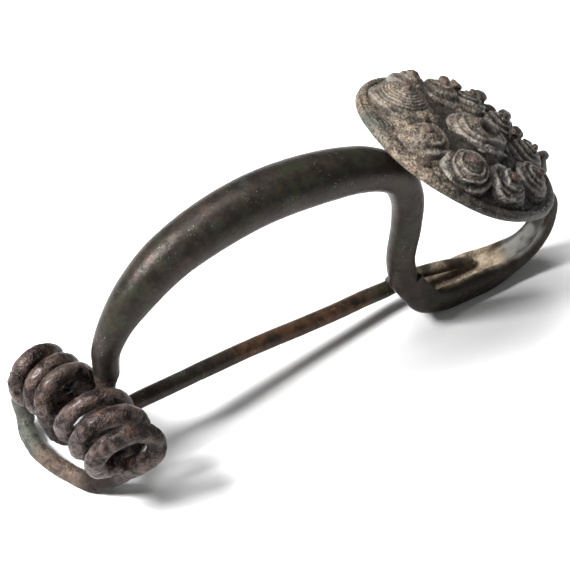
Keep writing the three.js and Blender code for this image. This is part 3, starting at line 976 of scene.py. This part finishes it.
def add_plate(sheets):
    """The plate: a rough back, then the front from its rim in to the middle of the mound."""
    angle = np.linspace(0, TURN, PLATE_SPOKES, endpoint=False)
    edge = 1 + 0.012 * np.sin(3 * angle + 1) + 0.008 * np.sin(7 * angle + 2)
    reach = DISC_RADIUS * np.linspace(1, 0, PLATE_RINGS) ** 0.8
    rho, theta = np.meshgrid(reach, angle, indexing="ij")
    x = rho * edge * np.cos(theta)
    y = rho * edge * np.sin(theta)
    height, filled, rings = rim_height(x, y)
    front = np.stack([x, y, height], -1)
    # The crust is thick toward the spring, thin on the near and far rim, and thickest on the mound.
    around = np.degrees(theta)
    thick = 1 - 0.75 * ease(-70, -40, around - 360 * (theta > math.pi))
    thick = np.where(around < 60, 0.4, thick)
    thick = np.maximum(thick, 1.3 * ease(12.5, 11.0, rho))
    front[..., 2] += 1.7 * gritty(front) * thick
    swell = lumps(front.reshape(-1, 3), 2.2, 331).reshape(rho.shape)
    front[..., 2] += 0.2 * swell * ease(15.2, 13.5, rho) + 0.5 * swell * ease(12.0, 10.0, rho)
    back = []
    for share, level in BACK:
        reach = DISC_RADIUS * share * edge
        ring = np.stack([reach * np.cos(angle), reach * np.sin(angle), np.full(PLATE_SPOKES, level)], -1)
        ring[:, 2] += 0.05 * rough(ring, 1.5, 41)
        back.append(ring)
    no_mask = np.zeros((len(back), PLATE_SPOKES))
    # Painted shade in the rim's groove, in the motifs' rings, on the low crust between bosses and,
    # lightly, on the back.
    groove = ease(0.9, 0.2, np.abs(rho - 13.7)) * (1 - filled)
    darkening = np.maximum(groove, ease(0.02, -0.1, rings) * 0.8)
    between = ease(13.0, 11.0, rho) * ease(0.75, 0.3, swell)
    sheets.add(
        np.concatenate([np.array(back), front]),
        hollow=np.concatenate([no_mask + 0.2, np.clip(np.maximum(darkening, between), 0, 1)]),
        worn=np.concatenate([no_mask, 0.6 * ease(0.05, 0.12, rings)]),
    )


def disc_tones(points):
    """Masks over the whole disc: painted shade on the side away from the spring, where the disc is also
    more metallic, and a green patch on the rim.
    """
    drift = rough(points, 4.0, 151)
    x, y, _ = points.T
    side = x * 0.75 - y * 0.65
    # Painted shade over the side away from the spring, deepest at the rim there.
    rim_shade = ease(12.5, 14.5, np.hypot(x, y)) * ease(-4, 2, side) * 4
    shade = ease(-6.5, 6.0, side + rim_shade + 2.2 * drift)
    green = ease(2.6, 1.2, np.hypot(x + 15.0, y - 3.5) + 0.8 * drift)
    return shade, green


def build_disc(settings):
    """The disc: a plate with a mound, bosses, pellets and knobs, closed below by its back."""
    sheets = Sheets(["hollow", "worn", "rust", "shade", "green"])
    add_plate(sheets)
    for number, (ring, degrees, radius, rise, lean, fine, pellet, ridges) in enumerate(BOSSES):
        base = BASE_LEVEL + LEVEL_RISE * polar(ring, degrees)[1]
        middle, turn = add_boss(
            sheets, (ring, degrees, base), radius, rise, lean, fine, ridges, number + 1)
        top = middle + np.array(turn) @ np.array([0.0, 0.0, rise + 0.1])
        add_ball(sheets, top, pellet, 0.85, 0.9, number)
    x, y, radius, rise, base = CENTRE_BOSS
    place = (math.hypot(x, y), math.degrees(math.atan2(y, x)), base)
    add_boss(sheets, place, radius, rise, 0, 0, CENTRE_RIDGES, 17, pit=1.0)
    for number, (ring, degrees, top, radius, flatness) in enumerate(KNOBS):
        place = np.array([*polar(ring, degrees), top])
        add_ball(sheets, place, radius, flatness, min(top - 0.9, 2.4), 20 + number, 0.45)
    ring, degrees, top, radius = RIM_PELLET
    add_ball(sheets, np.array([*polar(ring, degrees), top]), radius, 0.8, 0.8, 40)
    # Painted shade over the side away from the spring, and the green patch.
    shade, green = disc_tones(np.vstack(sheets.points))
    sheets.masks["shade"] = [shade]
    sheets.masks["green"] = [green]
    obj = sheets.object("boss_covered_disc")
    obj.data.materials.append(disc_crust(settings))
    return obj


# ---- Operators ---------------------------------------------------------------------------

class BROOCH_OT_body(bpy.types.Operator):
    """Builds the bow, the foot, the far half of the spring and the chord"""

    bl_idname = "brooch.body"
    bl_label = "Bow, foot and chord"

    def execute(self, context):
        obj = build_body(settings_of("bronze_colours"))
        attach(obj, "brooch")
        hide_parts("bow_spring_and_foot")
        return {"FINISHED"}


class BROOCH_OT_pin(bpy.types.Operator):
    """Builds the near half of the spring with the pin"""

    bl_idname = "brooch.pin"
    bl_label = "Near spring and pin"

    def execute(self, context):
        body = bpy.data.objects.get("bow_foot_and_chord")
        if body is None:
            raise RuntimeError("Build the bow, foot and chord first")
        obj = build_pin()
        obj.data.materials.append(body.data.materials[0])
        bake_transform(obj)
        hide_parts("pin")
        return {"FINISHED"}


class BROOCH_OT_disc(bpy.types.Operator):
    """Builds the disc of ringed bosses"""

    bl_idname = "brooch.disc"
    bl_label = "Disc"

    def execute(self, context):
        obj = build_disc(settings_of("disc_colours"))
        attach(obj, "brooch")
        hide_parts("boss_disc")
        return {"FINISHED"}


class BROOCH_OT_stage(bpy.types.Operator):
    """Sets up the floor, the studio lights and the camera"""

    bl_idname = "brooch.stage"
    bl_label = "Floor, lights and camera"

    def execute(self, context):
        settings = settings_of("studio")
        context.scene.view_settings.view_transform = "Standard"
        build_floor()
        build_lights(settings.light)
        build_camera(settings)
        return {"FINISHED"}


def build_floor():
    """A pale floor under the brooch."""
    half = 3.0
    corners = [(-half, -half, 0), (half, -half, 0), (half, half, 0), (-half, half, 0)]
    mesh = bpy.data.meshes.new("floor")
    mesh.from_pydata(corners, [], [(0, 1, 2, 3)])
    floor = bpy.data.objects.new("floor", mesh)
    bpy.context.scene.collection.objects.link(floor)
    paint = Paint("pale_floor")
    floor.data.materials.append(paint.finish(
        {"Base Color": (0.82, 0.82, 0.82, 1.0), "Roughness": 0.9, "Specular IOR Level": 0.0}))


def area_light(name, place, size, power):
    """A soft square light that points at the middle of the brooch."""
    data = bpy.data.lights.new(name, "AREA")
    data.size = size
    data.energy = power
    lamp = bpy.data.objects.new(name, data)
    bpy.context.scene.collection.objects.link(lamp)
    target = Vector((0.0, 0.0, 0.02))
    lamp.location = target + Vector(place)
    lamp.rotation_mode = "QUATERNION"
    lamp.rotation_quaternion = (target - lamp.location).to_track_quat("-Z", "Y")


def build_lights(strength):
    """Large soft lights and an even white surround."""
    world = bpy.data.worlds.new("studio")
    world.use_nodes = True
    background = world.node_tree.nodes["Background"]
    background.inputs["Color"].default_value = (1.0, 1.0, 1.0, 1.0)
    background.inputs["Strength"].default_value = 0.17 * strength
    bpy.context.scene.world = world
    area_light("key_light", (-0.45, 0.1, 0.48), 0.2, 10.5 * strength)
    area_light("top_light", (-0.1, 0.2, 0.8), 0.5, 5.6 * strength)


def build_camera(settings):
    """The camera looks down on the spring's end of the brooch."""
    turn = math.radians(settings.azimuth)
    rise = math.radians(settings.elevation)
    back = Vector((math.sin(turn) * math.cos(rise), -math.cos(turn) * math.cos(rise), math.sin(rise)))
    right = Vector((math.cos(turn), math.sin(turn), 0))
    up = back.cross(right)
    target = SPRING + CAMERA_TARGET * MM
    data = bpy.data.cameras.new("camera")
    data.sensor_width = 36.0
    data.lens = CAMERA_LENS
    data.clip_start = 0.01
    data.clip_end = 10.0
    camera = bpy.data.objects.new("camera", data)
    bpy.context.scene.collection.objects.link(camera)
    turned = Matrix((right, up, back)).transposed().to_4x4()
    camera.matrix_world = Matrix.Translation(target + back * settings.distance) @ turned
    bpy.context.scene.camera = camera


class BROOCH_PT_panel(bpy.types.Panel):
    """Lists the brooch's pieces and its settings"""

    bl_label = "Brooch"
    bl_idname = "BROOCH_PT_panel"
    bl_space_type = "VIEW_3D"
    bl_region_type = "UI"
    bl_category = "Brooch"

    def draw(self, context):
        for operator in OPERATORS:
            self.layout.operator(operator.bl_idname)
        for group in PROPERTIES:
            for name in PROPERTIES[group].__annotations__:
                self.layout.prop(getattr(context.scene, group), name)


OPERATORS = (BROOCH_OT_body, BROOCH_OT_pin, BROOCH_OT_disc, BROOCH_OT_stage)
PROPERTIES = {"bronze_colours": BronzeColours, "disc_colours": DiscColours, "studio": StudioSettings}


def register():
    for cls in (*PROPERTIES.values(), *OPERATORS, BROOCH_PT_panel):
        bpy.utils.register_class(cls)
    for name, cls in PROPERTIES.items():
        setattr(bpy.types.Scene, name, bpy.props.PointerProperty(type=cls))


def unregister():
    for name in PROPERTIES:
        delattr(bpy.types.Scene, name)
    for cls in (BROOCH_PT_panel, *OPERATORS, *PROPERTIES.values()):
        bpy.utils.unregister_class(cls)


def main():
    register()
    bpy.ops.brooch.body()
    bpy.ops.brooch.pin()
    bpy.ops.brooch.disc()
    bpy.ops.brooch.stage()


if __name__ == "__main__":
    main()
